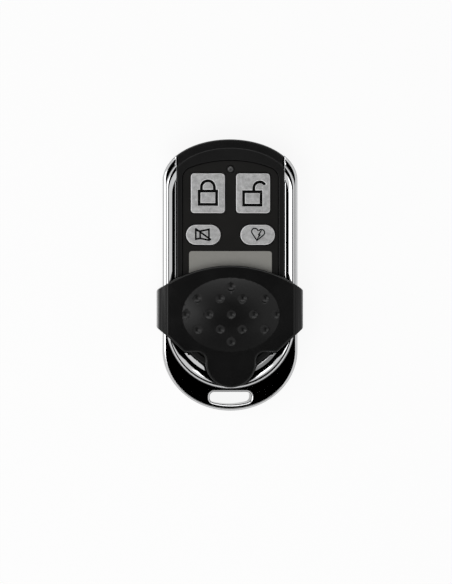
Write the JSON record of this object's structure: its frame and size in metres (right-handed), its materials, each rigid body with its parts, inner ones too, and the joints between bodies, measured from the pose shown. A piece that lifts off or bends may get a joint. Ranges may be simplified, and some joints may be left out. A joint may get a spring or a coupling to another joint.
{
  "type": "wireless remote control",
  "caption": "Pocket radio remote: black body in a polished metal frame, silver keys, an indicator, a cover that slides over the keys and a key ring slot.",
  "frame": {"origin": "under the middle of the outline, on the plane of the rear face", "axes": "+X to the right seen from the keys, +Y from the key ring slot to the capped end, +Z out of the key face"},
  "size_m": [0.0364, 0.068, 0.014],
  "materials": {
    "chrome_metal": "mirror polish",
    "black_shell": "semi-gloss",
    "rear_black": "fine spark texture",
    "panel_black": "satin",
    "cover_black": "satin",
    "silver_paint": "satin silver paint",
    "black_enamel": "matt",
    "grey_label": "matt",
    "silver_label": "satin film",
    "smoked_lens": "polished",
    "red_led": "clear tinted",
    "board_green": "solder mask",
    "chip_black": "matt",
    "tin": "plated",
    "cell_steel": "nickel plated",
    "gasket_plastic": "matt",
    "spring_steel": "nickel plated",
    "gold_plate": "gold plated",
    "copper": "enamelled",
    "resistor_black": "glazed",
    "capacitor_tan": "ceramic",
    "screw_steel": "zinc plated",
    "plunger_black": "matt"
  },
  "bodies": {
    "case": {"metal_frame": "chrome_metal", "front_shell": "black_shell", "rear_shell": "rear_black", "key_panel": "panel_black", "front_label": "grey_label", "rear_label": "silver_label", "indicator_lens": "smoked_lens", "indicator_led": "red_led", "circuit_board": "board_green", "encoder_chip": "chip_black", "encoder_chip_legs": "tin", "radio_resonator": "tin", "radio_transistor": "chip_black", "tuning_coil": "copper", "loop_antenna": "copper", "chip_resistors": "resistor_black", "chip_capacitors": "capacitor_tan", "rear_screws": "screw_steel", "coin_cell_can": "cell_steel", "coin_cell_gasket": "gasket_plastic", "coin_cell_cap": "cell_steel", "positive_clip": "spring_steel", "negative_pad": "gold_plate", "lock_switch_housing": "chip_black", "lock_switch_plate": "tin", "lock_switch_dome": "spring_steel", "unlock_switch_housing": "chip_black", "unlock_switch_plate": "tin", "unlock_switch_dome": "spring_steel", "mute_switch_housing": "chip_black", "mute_switch_plate": "tin", "mute_switch_dome": "spring_steel", "panic_switch_housing": "chip_black", "panic_switch_plate": "tin", "panic_switch_dome": "spring_steel"},
    "cover": {"slide_cover": "cover_black"},
    "lock_button": {"lock_key": "silver_paint", "lock_symbol": "black_enamel", "lock_switch_plunger": "plunger_black"},
    "unlock_button": {"unlock_key": "silver_paint", "unlock_symbol": "black_enamel", "unlock_switch_plunger": "plunger_black"},
    "mute_button": {"mute_key": "silver_paint", "mute_symbol": "black_enamel", "mute_switch_plunger": "plunger_black"},
    "panic_button": {"panic_key": "silver_paint", "panic_symbol": "black_enamel", "panic_switch_plunger": "plunger_black"}
  },
  "joints": [
    {"name": "cover_slide", "type": "slide", "parent": "case", "child": "cover", "axis": [0, 1, 0], "range_m": [0, 0.026]},
    {"name": "lock_press", "type": "slide", "parent": "case", "child": "lock_button", "axis": [0, 0, -1], "range_m": [0, 0.0003], "stiffness_N_per_m": 500, "springref_m": -0.001, "deforming": ["lock_switch_dome"]},
    {"name": "unlock_press", "type": "slide", "parent": "case", "child": "unlock_button", "axis": [0, 0, -1], "range_m": [0, 0.0003], "stiffness_N_per_m": 500, "springref_m": -0.001, "deforming": ["unlock_switch_dome"]},
    {"name": "mute_press", "type": "slide", "parent": "case", "child": "mute_button", "axis": [0, 0, -1], "range_m": [0, 0.0003], "stiffness_N_per_m": 500, "springref_m": -0.001, "deforming": ["mute_switch_dome"]},
    {"name": "panic_press", "type": "slide", "parent": "case", "child": "panic_button", "axis": [0, 0, -1], "range_m": [0, 0.0003], "stiffness_N_per_m": 500, "springref_m": -0.001, "deforming": ["panic_switch_dome"]}
  ]
}
